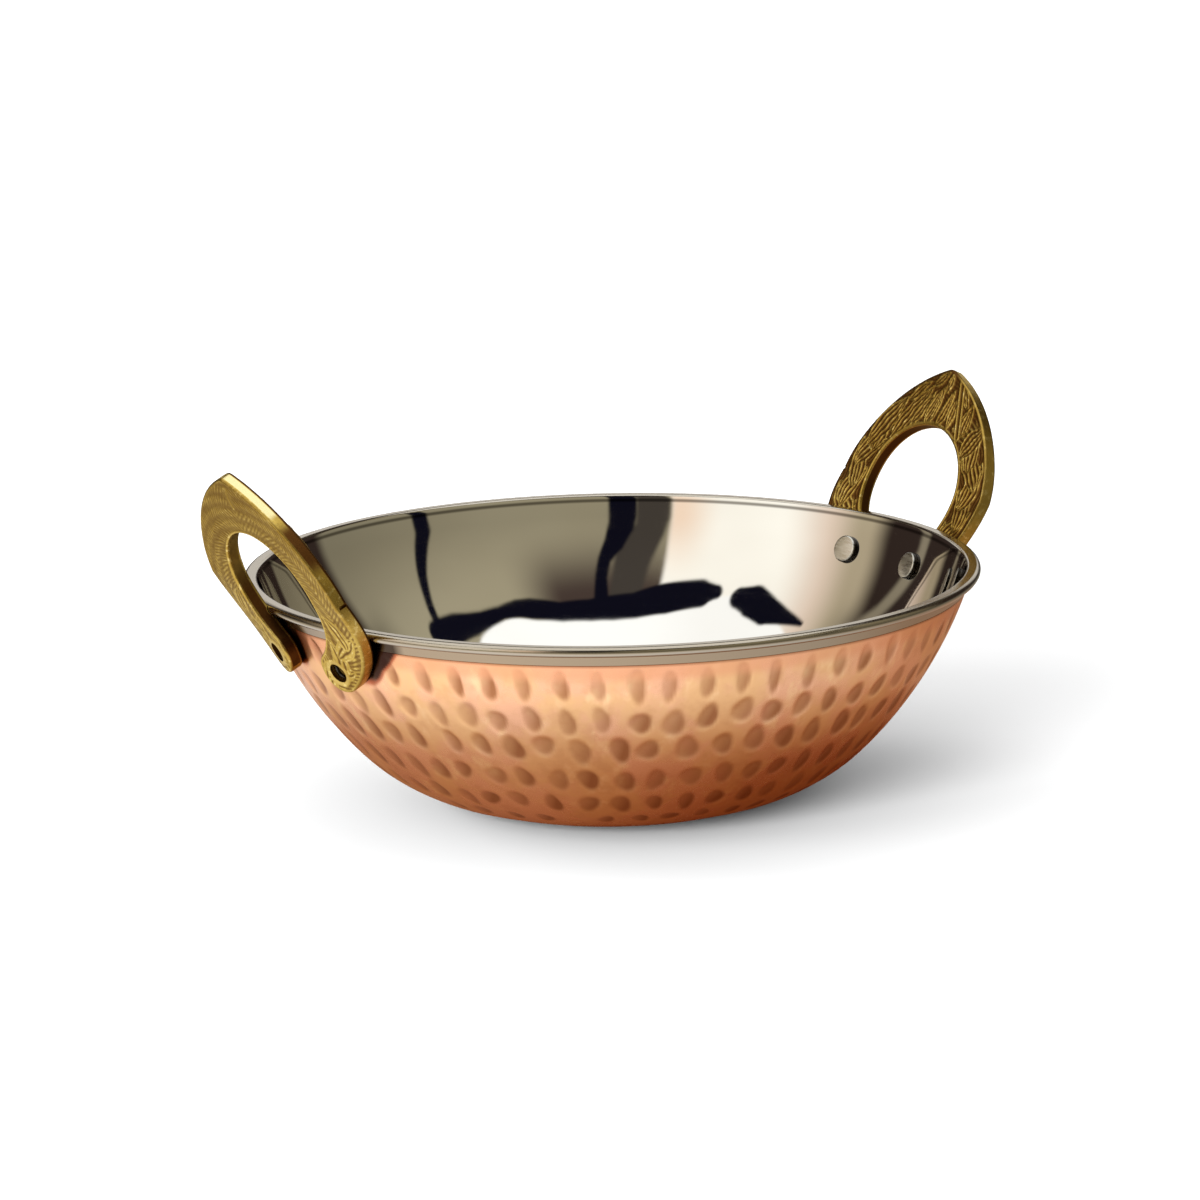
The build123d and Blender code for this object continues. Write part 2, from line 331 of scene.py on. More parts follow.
def hammered_copper():
    """Lacquered copper, rosy and golden by turns on the flats, with painted highlights in flecks, painted
    shade in the dents and under the rim, dark at its top edge, and the painted shadow of the handles' feet
    beside them, with painted shade between the feet."""
    material, tree, shader = new_material("hammered_copper")
    cloud = noise(tree, 75, 4, 0.6)
    tarnish = noise(tree, 210, 3, 0.6)
    fine = noise(tree, 900, 3, 0.6)
    colour = mixed(tree, ranged(tree, cloud, 0.38, 0.62, 0, 1), (0.89, 0.475, 0.29), (0.87, 0.51, 0.25))
    colour = mixed(tree, ranged(tree, tarnish, 0.45, 0.72, 0, 0.35), colour, (0.66, 0.33, 0.16))
    # Painted highlights: streaky pale golden flecks on the flats.
    highlight_fleck = noise(tree, 170, 3, 0.6, (1, 1, 0.5))
    colour = mixed(tree, ranged(tree, highlight_fleck, 0.54, 0.72, 0, 0.7), colour, (1.0, 0.67, 0.37))
    # Painted shade in the dents, darker on one side of each.
    dent_shade = attribute(tree, "dent_shade")
    colour = mixed(tree, dent_shade, colour, (0.40, 0.165, 0.07))
    # Painted shade: darker and redder in the top few millimetres of the copper, under the rim.
    shade_under_rim = ranged(tree, height_of(tree), (copper_edge - 4.5) * MM, (copper_edge - 2.0) * MM, 0, 0.65)
    colour = mixed(tree, shade_under_rim, colour, (0.80, 0.36, 0.19))
    edge = ranged(tree, height_of(tree), (copper_edge - 0.8) * MM, (copper_edge - 0.1) * MM, 0, 1)
    colour = mixed(tree, sum_of(tree, edge, 0.7, "MULTIPLY"), colour, (0.28, 0.11, 0.045))
    # Painted shadow of the handles' feet, near black where full, and red-brown painted shade between the
    # feet.
    foot_shadow = attribute(tree, "foot_shadow")
    colour = mixed(tree, ranged(tree, foot_shadow, 0.0, 0.5, 0, 0.85), colour, (0.36, 0.075, 0.028))
    colour = mixed(tree, ranged(tree, foot_shadow, 0.4, 0.95, 0, 1), colour, (0.03, 0.008, 0.004))
    rough = sum_of(tree, ranged(tree, cloud, 0.3, 0.7, 0.24, 0.33), sum_of(tree, dent_shade, 0.07, "MULTIPLY"))
    finish_metal(tree, shader, colour, rough, bumped(tree, fine, 0.12, 0.00003))
    shader.inputs["Specular Tint"].default_value = (0.90, 0.76, 0.66, 1)
    shader.inputs["Coat Weight"].default_value = 0.12
    shader.inputs["Coat Roughness"].default_value = 0.16
    return material


def mirror_steel():
    """Mirror-polished steel with faint rings of the polishing wheel, a painted dark reflection in a line just
    under the lip, a satin rim coloured with painted reflection, darker on the band, and the painted shadow of
    the handles' feet on the band."""
    material, tree, shader = new_material("mirror_steel")
    rings = noise(tree, 240, 3, 0.6, (0.12, 0.12, 3))
    wave = noise(tree, 26, 2, 0.5, (1, 1, 2))
    colour = mixed(tree, ranged(tree, wave, 0.3, 0.7, 0, 1), (0.66, 0.625, 0.585), (0.71, 0.68, 0.645))
    # Painted dark reflection: a dark line just under the lip.
    low_line = ranged(tree, height_of(tree), (bowl_height - 1.75) * MM, (bowl_height - 1.25) * MM, 0, 1)
    high_line = ranged(tree, height_of(tree), (bowl_height - 1.1) * MM, (bowl_height - 0.65) * MM, 1, 0)
    line = sum_of(tree, low_line, high_line, "MULTIPLY")
    colour = mixed(tree, sum_of(tree, line, 0.8, "MULTIPLY"), colour, (0.10, 0.085, 0.07))
    # Painted reflection on the rim: colour darker and warmer than the bowl's, darkest on the band below the
    # bead.
    rim = attribute(tree, "rim")
    low = ranged(tree, height_of(tree), (bead_foot - 0.1) * MM, (bead_foot + 0.3) * MM, 1, 0)
    rim_reflection = mixed(tree, low, (0.41, 0.355, 0.285), (0.34, 0.26, 0.18))
    colour = mixed(tree, rim, colour, rim_reflection)
    # Painted shadow of the handles' feet on the band under the bead.
    colour = mixed(tree, attribute(tree, "foot_shadow"), colour, (0.03, 0.016, 0.010))
    satin = sum_of(tree, rim, 0.15, "MULTIPLY")
    rough = sum_of(tree, ranged(tree, rings, 0.3, 0.7, 0.02, 0.05), satin)
    finish_metal(tree, shader, colour, rough, bumped(tree, wave, 0.5, 0.00012))
    return material


def engraved_brass():
    """Antique brass: bright olive gold on the ridges, brown lacquer left in the cuts."""
    material, tree, shader = new_material("engraved_brass")
    cloud = noise(tree, 120, 4, 0.6)
    fine = noise(tree, 1500, 4, 0.65)
    relief = attribute(tree, "relief")
    gold = mixed(tree, ranged(tree, cloud, 0.35, 0.65, 0, 1), (0.42, 0.268, 0.052), (0.56, 0.385, 0.092))
    # Tones below zero, which only the painted shade of the plate's edges reaches, go from brown to near
    # black.
    deep = mixed(tree, ranged(tree, relief, -0.3, 0.0, 1, 0), (0.13, 0.052, 0.012), (0.035, 0.013, 0.004))
    colour = mixed(tree, ranged(tree, relief, 0.12, 0.85, 0, 1), deep, gold)
    glint = ranged(tree, noise(tree, 800, 3, 0.6), 0.54, 0.68, 0, 0.7)
    glint = sum_of(tree, glint, ranged(tree, relief, 0.45, 0.8, 0, 1), "MULTIPLY")
    colour = mixed(tree, glint, colour, (0.80, 0.62, 0.24))
    spots = ranged(tree, fine, 0.55, 0.75, 0, 0.35)
    colour = mixed(tree, spots, colour, (0.13, 0.08, 0.025))
    # Painted highlight: tones past 1, on the outer side near the tip, turn pale gold.
    colour = mixed(tree, ranged(tree, relief, 1.0, 1.3, 0, 1), colour, (0.78, 0.66, 0.34))
    smoother = ranged(tree, relief, 0.2, 0.9, 0.44, 0.28)
    rough = sum_of(tree, smoother, ranged(tree, fine, 0.3, 0.7, -0.03, 0.06))
    finish_metal(tree, shader, colour, rough, bumped(tree, fine, 0.5, 0.00005))
    shader.inputs["Specular Tint"].default_value = (0.95, 0.88, 0.66, 1)
    return material


def rivet_steel():
    """Plain steel with fine scratches, duller than the bowl, with painted shade round the head and in the
    bore.
    """
    material, tree, shader = new_material("rivet_steel")
    scratch = noise(tree, 1400, 3, 0.6, (1, 0.15, 1))
    colour = mixed(tree, ranged(tree, scratch, 0.3, 0.7, 0, 1), (0.50, 0.475, 0.42), (0.66, 0.63, 0.57))
    colour = mixed(tree, attribute(tree, "rivet_shade"), colour, (0.02, 0.016, 0.012))
    rough = ranged(tree, scratch, 0.3, 0.7, 0.24, 0.38)
    finish_metal(tree, shader, colour, rough, bumped(tree, scratch, 0.3, 0.00003))
    return material


copper = hammered_copper()
steel = mirror_steel()
brass = engraved_brass()
plain_steel = rivet_steel()


# Copper shell
dent_rows = (
    # length along the wall, number round, half width, half height, depth, share of the dents that are struck
    (88.4, 62, 1.75, 4.2, 0.26, 1.0),
    (79.7, 62, 2.10, 3.5, 0.30, 1.0),
    (71.8, 58, 2.20, 3.6, 0.32, 1.0),
    (62.6, 56, 2.15, 3.7, 0.30, 1.0),
    (53.8, 50, 2.05, 3.5, 0.27, 1.0),
    (46.3, 44, 1.80, 2.6, 0.18, 0.8),
)


def dent_depths(length, turn, radius):
    """Depth of the hammer dents at points of the wall, and the painted shade of each, darker on one side.
    Each row is a ring of shallow oval hollows, round-bottomed with a firm edge, whose places, sizes and
    depths vary a little, and a point takes the deepest of the hollows near it."""
    depth, shade = np.zeros_like(length), np.zeros_like(length)
    for row_length, number, half_width, half_height, row_depth, kept_share in dent_rows:
        pitch = 2 * pi / number
        shift = draws.uniform(0, pitch)
        across = draws.normal(0, 0.05, number) * pitch
        along = draws.normal(0, 0.4, number)
        wider, taller = draws.uniform(0.84, 1.14, (2, number))
        skew = draws.normal(0, 0.12, number)
        struck = draws.uniform(0, 1, number) < kept_share
        deep = draws.uniform(0.7, 1.1, number) * struck
        dark = draws.uniform(0.60, 1.15, number) * struck
        nearest = np.round((turn - shift) / pitch).astype(int)
        for step in (-1, 0, 1):
            spot = (nearest + step) % number
            away = turn - shift - (nearest + step) * pitch - across[spot]
            tall = (length - row_length - along[spot]) / (half_height * taller[spot])
            wide = away * radius / (half_width * wider[spot]) + skew[spot] * tall
            way = np.arctan2(tall, wide)
            uneven = 1 + 0.07 * np.sin(2 * way + 9 * skew[spot])
            uneven = uneven + 0.06 * np.sin(3 * way + 40 * across[spot] / pitch)
            share = np.hypot(wide, tall) * uneven
            edge = smooth(1.12 - share, 0, 0.5)
            hollow = 0.45 * edge + 0.55 * np.maximum(1 - share**2, 0)
            depth = np.maximum(depth, row_depth * deep[spot] * hollow)
            # Painted shade, darker on the side of growing angle and towards the bottom of each dent.
            crescent = 0.50 + 0.60 * smooth(0.8 * wide - 0.35 * tall, -0.7, 0.8)
            shade = np.maximum(shade, dark[spot] * crescent * edge)
    return depth, shade


# Painted shadow beside a leg: how far it reaches at the rivet, how much farther for each millimetre above it,
# and how far it reaches on the leg's other side, then how dark the painted shade is between the feet
shadow_reach, shadow_growth, shadow_other_side, shade_between = 1.3, 0.40, 0.2, 0.36


def foot_shadow_share(length, turn, radius):
    """Painted shadow of the handles' feet on the wall: full right behind a leg and gone a little beyond its
    outline, farther towards the rim on the side of growing angle, painted shade a little between the feet,
    and none under them."""
    share = np.zeros_like(length)
    foot_length = upper_start + upper_radius * (pi / 2 - rivet_fall - joint_turn)
    above = length - foot_length
    for handle_turn in (0, pi):
        across = radius * np.sin(turn - handle_turn)
        facing = np.cos(turn - handle_turn) > 0
        beside = -edge_distance(across, above - foot_depth)
        middle = np.sign(across) * (foot_spread + 0.5 * above)
        widening = shadow_reach + shadow_growth * np.maximum(above, 0)
        reach = np.where(across > middle, widening, shadow_other_side)
        share = np.maximum(share, facing * (1 - smooth(beside, reach - 0.7, reach + 0.9)))
        between = smooth(across, -foot_spread - 2, -foot_spread) * (1 - smooth(across, -4, 8))
        share = np.maximum(share, facing * shade_between * between * smooth(above, -4, 2))
    return share * smooth(above, -5.5, -1.5)


def build_copper_shell():
    """Outer skin of the bowl: outside line with its dents, a rounded top edge, and the plain inside line."""
    top = length_to(copper_edge, 0)
    inside_top = length_to(copper_edge, copper_wall) - copper_edge_round
    outside = np.concatenate([[0], np.linspace(8, 40, 6), np.linspace(41, top - copper_edge_round, 100)])
    inside = np.concatenate([np.linspace(inside_top, 30, 9), [18, 0]])
    turn = np.linspace(0, 2 * pi, copper_columns, endpoint=False)
    length, angle = np.meshgrid(outside, turn, indexing="ij")
    radius, _ = wall_at(outside, 0)
    depth, shade = dent_depths(length, angle, np.repeat(radius[:, None], copper_columns, 1))
    below_edge = smooth(top - length, 0.2, 1.6)
    r_out, z_out = wall_at(length, depth * below_edge)
    edge_r, edge_z = wall_at(np.array([top, top]), np.array([0, copper_wall]))
    edge_r = edge_r + np.array([-copper_edge_round, copper_edge_round])
    edge_z = np.full(2, copper_edge)
    r_in, z_in = wall_at(inside, copper_wall)
    r_all = np.vstack([r_out, np.repeat(np.concatenate([edge_r, r_in])[:, None], copper_columns, 1)])
    z_all = np.vstack([z_out, np.repeat(np.concatenate([edge_z, z_in])[:, None], copper_columns, 1)])
    angle = np.broadcast_to(turn, r_all.shape)
    grid = np.stack([r_all * np.cos(angle), r_all * np.sin(angle), z_all], -1)
    piece = closed_skin("copper_shell_skin", grid[:, ::-1], copper)
    # Painted shade of the dents, fading out near the top edge.
    dent_shading = np.zeros(r_all.shape)
    dent_shading[: len(outside)] = shade * below_edge
    store_rows(piece, "dent_shade", dent_shading[:, ::-1])
    # Painted shadow of the handles' feet on the outside of the copper, with painted shade between the feet.
    foot_shadow = np.zeros(r_all.shape)
    foot_shadow[: len(outside)] = 0.95 * foot_shadow_share(length, angle[: len(outside)], r_out)
    store_rows(piece, "foot_shadow", foot_shadow[:, ::-1])
    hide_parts("copper_shell")


# Steel liner
def build_steel_liner():
    """Inner bowl: inside line, rounded lip, level top, bead, flush band, and the outside of the sheet."""
    top = length_to(bowl_height, liner_inside)
    reach, _ = wall_at(top, liner_inside)
    cut_back = lip_round * tan(wall_turn / 2)
    inside = np.concatenate([np.linspace(0, 22, 12), np.linspace(24.5, top - cut_back, 150)])
    r_in, z_in = wall_at(inside, liner_inside)
    lip_centre = (reach + cut_back, bowl_height - lip_round)
    lip = arc(lip_centre, lip_round, pi / 2 + wall_turn, pi / 2, 9)[1:]
    bead = arc(bead_centre, bead_radius, pi / 2, -pi / 2, 25)
    level = np.linspace(lip[-1], bead[0], 8)[1:-1]
    band_r, _ = wall_at(np.array([length_to(bead_foot, 0), length_to(copper_edge, 0)]), 0)
    band = np.stack([np.linspace(*band_r, 7), np.linspace(bead_foot, copper_edge, 7)], -1)
    under = np.linspace(bead[-1], band[0], 4)[1:-1]
    back = np.linspace(length_to(copper_edge, liner_outside), 0, 40)
    r_back, z_back = wall_at(back, liner_outside)
    section = np.vstack(
        [np.stack([r_in, z_in], -1), lip, level, bead, under, band, np.stack([r_back, z_back], -1)]
    )
    grid = turned(section[:, 0], section[:, 1], liner_columns)
    piece = closed_skin("steel_liner_skin", grid, steel)
    onset = np.linspace(0.6, 1, 6)
    satin_rows = len(section) - len(inside) - len(back) - len(onset)
    rim = np.concatenate([np.zeros(len(inside)), onset, np.ones(satin_rows), np.zeros(len(back))])
    store_rows(piece, "rim", np.repeat(rim[:, None], liner_columns, 1))
    turns = np.linspace(0, 2 * pi, liner_columns, endpoint=False)
    low = smooth(bead_foot + 0.6 - section[:, 1], 0, 0.6) * (rim > 0)
    # Painted shadow of the handles' feet, kept to the band and the underside of the bead.
    beside_foot = foot_shadow_share(np.full(liner_columns, length_to(bead_foot, 0)), turns, rim_radius)
    store_rows(piece, "foot_shadow", 0.9 * low[:, None] * beside_foot)
    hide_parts("steel_liner")


build_copper_shell()
build_steel_liner()


# Handles
def joined(*runs):
    """Joins runs of points end to end without repeating the points where they meet."""
    return np.vstack([runs[0]] + [run[1:] for run in runs[1:]])


def spread(points, count):
    """Points at equal steps along a line of points."""
    steps = np.concatenate([[0], np.cumsum(np.hypot(*np.diff(points, axis=0).T))])
    even = np.linspace(0, steps[-1], count)
    return np.stack([np.interp(even, steps, points[:, axis]) for axis in (0, 1)], -1)


def arch_sections(foot_count, leg_count):
    """Ends of the sections across one half of the arch, from the foot's end to the tip, as inner and outer
    points. In the foot they are chords square to its end, and above it they join equal shares of the two
    edges."""
    foot_in_turn = atan2(*(opening_centre - foot_centre)[::-1]) - 2 * pi
    end_turn = (foot_out_turn + foot_in_turn) / 2
    share = 1 - np.cos(np.linspace(0, pi / 2, foot_count))
    share = 0.5 * share + 0.5 * np.linspace(0, 1, foot_count)
    out_turn = end_turn + share * (foot_out_turn - end_turn)
    in_turn = end_turn + share * (foot_in_turn - end_turn)
    foot_outer = foot_centre + foot_radius * np.stack([np.cos(out_turn), np.sin(out_turn)], -1)
    foot_inner = foot_centre + foot_radius * np.stack([np.cos(in_turn), np.sin(in_turn)], -1)
    outer = joined(
        arc(side_centre, side_radius, foot_out_turn, ogive_turn, 400),
        arc(ogive_centre, ogive_radius, ogive_turn, tip_turn, 400),
        arc(tip_centre, tip_round, tip_turn, pi / 2, 200),
    )
    inner = arc(opening_centre, opening_radius, foot_in_turn + pi, pi / 2, 400)
    return joined(foot_inner, spread(inner, leg_count)), joined(foot_outer, spread(outer, leg_count))


def plate_bend(u, v):
    """How far the plate's middle stands out of its flat crown: the legs bend out and arch round the bowl."""
    share = np.maximum(-v - shoulder_depth, 0) / (foot_depth + 2 * foot_radius - shoulder_depth)
    return share * (end_rise - end_fall * (u / slab_half) ** 2)


def in_frame(u, v, w):
    """Point of the right handle's plate in the frame of the object: u across, v up the plate, w out of its
    front."""
    return np.stack(
        [
            handle_reach + v * sin(lean) + w * cos(lean),
            u,
            handle_height + v * cos(lean) - w * sin(lean),
        ],
        -1,
    )


def in_seat(u, v, w):
    """True where a point of the plate would be inside the bowl's wall or its rim, or nearer than the seat's
    gap."""
    point = in_frame(u, v, w)
    radius, height = np.hypot(point[..., 0], point[..., 1]), point[..., 2]
    lengths = np.linspace(0, length_to(bead_foot, 0), 600)
    wall_r, wall_z = wall_at(lengths, -seat_gap)
    wall = np.interp(height, wall_z, wall_r)
    rim_square = (bead_radius + seat_gap) ** 2 - (height - bead_centre[1]) ** 2
    round_rim = bead_centre[0] + np.sqrt(np.maximum(rim_square, 0))
    limit = np.where(height < bead_foot - seat_gap, wall, round_rim)
    limit = np.where(height > bowl_height + seat_gap, 0, limit)
    return radius < limit


def seated(u, v, back, front):
    """Back of the plate, cut where the bowl's wall or rim is in its way, by halving the way to the front."""
    inside = in_seat(u, v, back)
    low, high = back.copy(), front.copy()
    for _ in range(16):
        middle = (low + high) / 2
        within = in_seat(u, v, middle)
        low, high = np.where(within, middle, low), np.where(within, high, middle)
    return np.where(inside, high, back)


def leaf(x, y, stalk, point, half_width, flutes, curl):
    """One carved leaf as height and cover. The blade is an almond from its stalk to its point, its middle
    line bent by curl, and its ridges run from end to end and draw together at the point."""
    reach = np.array(point) - stalk
    size = np.hypot(*reach)
    along, across = reach / size
    a = (x - stalk[0]) * along + (y - stalk[1]) * across
    b = (y - stalk[1]) * along - (x - stalk[0]) * across
    share = np.clip(a / size, 0, 1)
    b = b - curl * size * (share**2 - share)
    half = half_width * np.sin(pi * share**0.8) ** 0.75
    inside = np.where((a > 0) & (a < size), half - np.abs(b), -np.hypot(np.minimum(size - a, a), b))
    cover = smooth(inside, -0.3, 0.05)
    folds = np.cos(pi / 2 * flutes * b / np.maximum(half, 0.2)) ** 2
    height = 0.10 + 0.90 * np.maximum(folds, ridge(inside - 0.12, 0.2))
    return height, cover


def carved(height, x, y, leaves):
    """Lays leaves one after another over the heights of a face."""
    for stalk, point, half_width, flutes, curl in leaves:
        leaf_height, cover = leaf(x, y, stalk, point, half_width, flutes, curl)
        height = height * (1 - cover) + leaf_height * cover
    return height


def leg_leaves(start, pitch, count, lean_out, size, half_width, flutes, offset, curl):
    """Leaves set left and right by turns along a leg, from the foot up, in lengths along and across it."""
    leaves = []
    for number in range(count):
        side = 1 if number % 2 else -1
        stalk = (start + pitch * number, -side * offset)
        turn = side * radians(lean_out)
        point = (stalk[0] + size * cos(turn), stalk[1] + size * sin(turn))
        leaves.append((stalk, point, half_width, flutes, side * curl))
    return leaves


inner_leaves = leg_leaves(-2.0, 4.6, 9, 25, 11.0, 2.35, 4, 1.4, 0.22)
outer_leaves = leg_leaves(-3.0, 4.2, 5, 30, 9.0, 2.1, 3, 1.2, 0.2)
crown_leaves = (
    # stalk, point, half width, ridges, curl
    ((18.2, -20.0), (10.2, -8.0), 2.5, 4, 0.12),
    ((11.6, -18.2), (3.2, -4.4), 2.1, 4, 0.06),
    ((6.6, -13.9), (2.0, -5.8), 1.3, 3, 0.10),
    ((2.4, -12.8), (-0.4, -4.0), 1.6, 4, -0.08),
    ((-1.6, -12.8), (-3.8, -4.6), 1.4, 3, -0.10),
    ((-5.2, -13.0), (-5.4, -6.4), 1.1, 3, 0.0),
    ((-10.6, -14.0), (-11.2, -6.4), 1.6, 4, 0.15),
    ((-12.6, -18.4), (-17.8, -10.4), 2.3, 4, 0.15),
    ((9.8, -8.6), (4.6, -3.6), 1.3, 3, 0.1),
    ((3.2, -4.6), (-0.6, -1.0), 1.0, 3, 0.15),
    ((-1.4, -5.6), (-1.6, -0.8), 0.9, 3, -0.1),
    ((-9.6, -7.8), (-6.4, -3.6), 0.9, 3, 0.1),
)
rib_top, rib_foot = np.array([-5.3, -2.6]), np.array([-9.3, -14.4])
edge_round = 0.45
inner_cut, outer_cut = 0.30, 0.16


def engraving(u, v, along, across, distance):
    """Heights of the two faces as shares of their cut: leaves over fine hatching between narrow borders, a
    double rib beside the tip of the inner face, and a small stalk under the tip of the outer face. The round
    rivet seats of the outer face stay plain."""
    hatch = np.cos(pi * (across + 0.5 * np.sin(along * 0.9)) / 0.85) ** 2
    cross = np.cos(pi * (along + 0.6 * across) / 0.75) ** 2
    inner = 0.06 + 0.30 * hatch + 0.12 * cross
    strokes = np.cos(pi * (along - 0.85 * np.abs(across) + 0.25 * np.sin(0.8 * along)) / 1.1) ** 2
    outer = 0.12 + 0.68 * strokes * (0.6 + 0.4 * np.sin(2.3 * across + 0.7 * along)) + 0.12 * cross
    in_leg = 1 - smooth(v, -14, -8)
    stray = 0.13 * np.sin(1.5 * v + 1.3 * np.sin(1.1 * u)), 0.13 * np.sin(1.6 * u + 1.2 * np.sin(0.9 * v))
    inner = inner * (1 - in_leg) + carved(inner, along + stray[0], across + stray[1], inner_leaves) * in_leg
    inner = carved(inner, u + stray[1], v + stray[0], crown_leaves)
    outer = carved(outer, along + stray[0], across + stray[1], outer_leaves)
    gleam = 0.80 + 0.20 * np.sin(1.9 * along + 2.6 * across) * np.sin(1.1 * along - 3.1 * across)
    inner, outer = inner * gleam, outer * gleam
    rib = rib_foot - rib_top
    rib_share = np.clip(((u - rib_top[0]) * rib[0] + (v - rib_top[1]) * rib[1]) / (rib @ rib), 0, 1)
    from_rib = np.hypot(u - rib_top[0] - rib_share * rib[0], v - rib_top[1] - rib_share * rib[1])
    rib_cover = 1 - smooth(from_rib, 0.95, 1.2)
    inner = inner * (1 - rib_cover) + np.maximum(ridge(from_rib - 0.62, 0.27), 0.30) * rib_cover
    stalk = ridge(u - 0.3 * np.sin((v + 3) * 0.9), 0.26) * (v < -2.2) * (v > -7.0)
    bud = ridge(np.hypot(u, v + 2.9) - 0.8, 0.26) * (v > -3.2)
    bud_cover = 1 - smooth(np.hypot(u / 1.5, (v + 4.4) / 3.0), 0.8, 1.1)
    outer = outer * (1 - bud_cover) + np.maximum(0.35, np.maximum(stalk, bud)) * bud_cover
    to_opening = np.hypot(u, v - opening_centre[1]) - opening_radius
    inner = np.maximum(inner, 0.85 * ridge(to_opening - 0.55, 0.28))
    border = 1 - smooth(distance, 0.35, 0.7)
    side = smooth(to_opening, 1.2, 2.0)
    seat = 1 - smooth(np.hypot(np.abs(u) - foot_spread, v + foot_depth), 2.9, 3.3)
    # The border of the inner face away from the opening is painted shade, darkening from gold to near black
    # towards positive u.
    inner = inner * (1 - border) + (0.75 - side * (0.15 + 0.75 * smooth(u, -6, 1))) * border
    plain = np.maximum(border, seat)
    outer = outer * (1 - plain) + (0.85 - 0.35 * side * border) * plain
    return inner, outer


def plate_grid():
    """Rings round the section of the plate, from one foot's end over the tip to the other, and the tone of
    each point. Each ring runs along the front face, down the outer side, back along the back face and up the
    side of the opening. The tone follows the height of the carving, is shifted by place on the front face
    with painted light and shade on the legs, and is set by place alone on the edges: painted highlight near
    the tip, painted shade and light along the outer side, and painted shade on the side of the opening."""
    inner, outer = arch_sections(foot_sections, leg_sections)
    mirror = np.array([-1, 1])
    inner = joined(inner, (inner * mirror)[::-1])
    outer = joined(outer, (outer * mirror)[::-1])
    rounding = 1 - np.cos(np.linspace(0, pi / 2, 5))
    width = np.hypot(*(outer - inner).T)[:, None]
    round_in = np.minimum(edge_round, width / 4)
    middle = np.linspace(0, 1, face_points)[None, 1:-1]
    rounded = round_in * rounding
    level_part = round_in + (width - 2 * round_in) * middle
    from_inner = np.concatenate([rounded, level_part, width - rounded[:, ::-1]], 1)
    share = np.where(width > 1e-9, from_inner / np.maximum(width, 1e-9), 0.5)
    u = inner[:, :1] + (outer - inner)[:, :1] * share
    v = inner[:, 1:] + (outer - inner)[:, 1:] * share
    centre = (inner + outer) / 2
    run = np.concatenate([[0], np.cumsum(np.hypot(*np.diff(centre, axis=0).T))])
    along = np.minimum(run, run[-1] - run)[:, None] + 0 * share
    across = (share - 0.5) * width
    distance = np.maximum(edge_distance(u, v), 0)
    inner_relief, outer_relief = engraving(u, v, along, across, distance)
    past_round = edge_round - np.minimum(distance, edge_round)
    drop = edge_round - np.sqrt(np.maximum(edge_round**2 - past_round**2, 0))
    bend = plate_bend(u, v)
    front = bend + plate_thickness / 2 - drop - outer_cut * (1 - outer_relief)
    plain_back = bend - plate_thickness / 2 + drop
    back = plain_back + inner_cut * (1 - inner_relief)
    back = seated(u, v, back, front)
    steps = np.linspace(0, 1, wall_points)[None, 1:-1]
    out_wall = front[:, -1:] + (back[:, -1:] - front[:, -1:]) * steps
    in_wall = back[:, :1] + (front[:, :1] - back[:, :1]) * steps
    ring_u = np.concatenate([u, u[:, -1:] + 0 * steps, u[:, ::-1], u[:, :1] + 0 * steps], 1)
    ring_v = np.concatenate([v, v[:, -1:] + 0 * steps, v[:, ::-1], v[:, :1] + 0 * steps], 1)
    ring_w = np.concatenate([front, out_wall, back[:, ::-1], in_wall], 1)
    far_u, far_v, near_u, near_v = u[:, -1:], v[:, -1:], u[:, :1], v[:, :1]
    # Painted shade on the outer side, about 9 to 20 mm below the tip, towards positive u.
    wall_shade = smooth(far_u, 2, 5) * smooth(-far_v, 8.5, 11) * (1 - smooth(-far_v, 15, 20))
    # Painted highlight on the outer side within about 8 mm of the tip, towards positive u, lifting the tone
    # past 1.
    bright = smooth(far_u, -1, 1) * (1 - smooth(-far_v, 6.5, 9))
    # Painted light on the outer side from about 20 mm below the tip downwards, towards positive u.
    olive = smooth(far_u, 2, 5) * smooth(-far_v, 17, 22)
    out_tone = 0.72 + 0.58 * bright - 0.62 * wall_shade + 0.30 * olive + 0 * steps
    # Painted shade on the side of the opening, dark brown, less dark towards negative u from about 24 mm
    # below the tip upwards.
    in_tone = -0.15 + 0.60 * (1 - smooth(near_u, -4, 2)) * smooth(near_v, -36, -24) + 0 * steps
    # Painted light and shade on the legs: the front face's ridges lighter and its cuts darker than on the
    # crown.
    on_leg = smooth(-v, 22, 34)
    front_tone = 0.30 + 0.62 * outer_relief + on_leg * (0.48 * outer_relief - 0.17)
    relief = np.concatenate([front_tone, out_tone, inner_relief[:, ::-1], in_tone], 1)
    return in_frame(ring_u, ring_v, ring_w), relief


def rivet_frame(end, side):
    """Place and directions of a rivet in the middle of its foot; its own Z points out of the bowl."""
    out = Vector(
        (end * cos(rivet_fall) * cos(foot_turn), side * cos(rivet_fall) * sin(foot_turn), -sin(rivet_fall))
    )
    across = Vector((-side * sin(foot_turn), end * cos(foot_turn), 0)).normalized()
    turn = Matrix((across, out.cross(across), out)).transposed().to_4x4()
    return Matrix.Translation(Vector((end * foot_x, side * foot_spread, foot_z)) * MM) @ turn


def cutter(name, matrix, radius, depth_low, depth_high):
    """Round cutter along a rivet's axis, between two heights."""
    form = bmesh.new()
    bmesh.ops.create_cone(
        form,
        cap_ends=True,
        segments=rivet_columns,
        radius1=radius * MM,
        radius2=radius * MM,
        depth=(depth_high - depth_low) * MM,
    )
    form.transform(matrix @ Matrix.Translation((0, 0, (depth_low + depth_high) / 2 * MM)))
    mesh = bpy.data.meshes.new(name)
    form.to_mesh(mesh)
    form.free()
    return placed(name, mesh)


